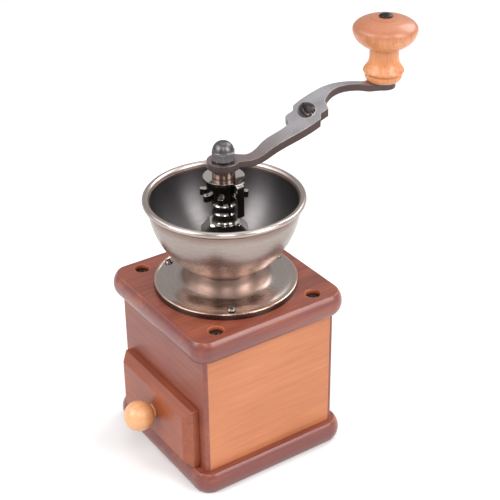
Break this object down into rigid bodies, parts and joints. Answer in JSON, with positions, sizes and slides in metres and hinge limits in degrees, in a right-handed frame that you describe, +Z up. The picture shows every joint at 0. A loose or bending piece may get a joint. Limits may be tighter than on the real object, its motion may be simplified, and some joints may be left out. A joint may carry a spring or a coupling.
{
  "type": "manual coffee grinder",
  "caption": "Hand-cranked burr coffee grinder: wooden box with a pull-out drawer, open metal hopper bowl on a flange, and a long stepped crank with a turned wooden knob.",
  "frame": {"origin": "centre of the base board's underside, below the spindle", "axes": "+Z up along the spindle; -Y towards the drawer front; +X towards the right side panel seen from the drawer; the crank is stored 80 degrees from +X towards +Y"},
  "size_m": [0.1, 0.183, 0.246],
  "materials": {
    "dark_wood": "satin mahogany stain",
    "orange_wood": "light orange-brown stain with fine straight grain",
    "pale_wood": "raw pale wood",
    "knob_wood": "clear-lacquered pale beech",
    "knob_wood_dark": "orange-brown lacquered beech",
    "coppered_steel": "brushed, copper-tinted, lacquered",
    "coppered_arm": "antique copper plating, worn bright on the edges",
    "black_nickel": "polished black nickel",
    "gunmetal": "gunmetal plating",
    "burr_iron": "machined, teeth left bright",
    "spindle_steel": "turned",
    "spring_steel": "drawn wire",
    "screw_steel": "zinc plated"
  },
  "bodies": {
    "grinder_body": {"base_board": "dark_wood", "top_board": "dark_wood", "side_panel_left": "orange_wood", "side_panel_right": "orange_wood", "front_board": "dark_wood", "back_board": "dark_wood", "top_screws": "screw_steel", "base_screws": "screw_steel", "mounting_flange": "coppered_steel", "flange_screws": "screw_steel", "hopper_bowl": "coppered_steel", "bearing_bridge": "black_nickel", "bridge_screws": "screw_steel", "bearing_bush": "black_nickel", "ring_burr": "burr_iron", "compression_spring": "spring_steel"},
    "lift_carrier": {"thrust_washer": "screw_steel"},
    "crank": {"spindle": "spindle_steel", "cone_burr": "burr_iron", "burr_washer": "screw_steel", "burr_nut": "screw_steel", "adjusting_nut": "black_nickel", "locating_clip": "black_nickel", "arm_collar": "black_nickel", "crank_arm": "coppered_arm", "lock_washer": "screw_steel", "cap_nut": "gunmetal", "knob_pin": "screw_steel"},
    "knob": {"crank_knob": "knob_wood_dark"},
    "drawer": {"drawer_front": "dark_wood", "drawer_side_left": "pale_wood", "drawer_side_right": "pale_wood", "drawer_back": "pale_wood", "drawer_bottom": "pale_wood", "drawer_knob": "knob_wood", "drawer_knob_screw": "screw_steel"}
  },
  "joints": [
    {"name": "burr_lift", "type": "slide", "parent": "grinder_body", "child": "lift_carrier", "axis": [0, 0, 1], "range_m": [0, 0.001], "stiffness_N_per_m": 1500, "springref_m": -0.004, "deforming": ["compression_spring"]},
    {"name": "crank_spin", "type": "hinge", "parent": "lift_carrier", "child": "crank", "pos_m": [0, 0, 0.17], "axis": [0, 0, 1], "continuous": true},
    {"name": "knob_spin", "type": "hinge", "parent": "crank", "child": "knob", "pos_m": [0.01679, 0.09523, 0.21], "axis": [0, 0, 1], "continuous": true},
    {"name": "drawer_slide", "type": "slide", "parent": "grinder_body", "child": "drawer", "axis": [0, -1, 0], "range_m": [0, 0.085]}
  ]
}
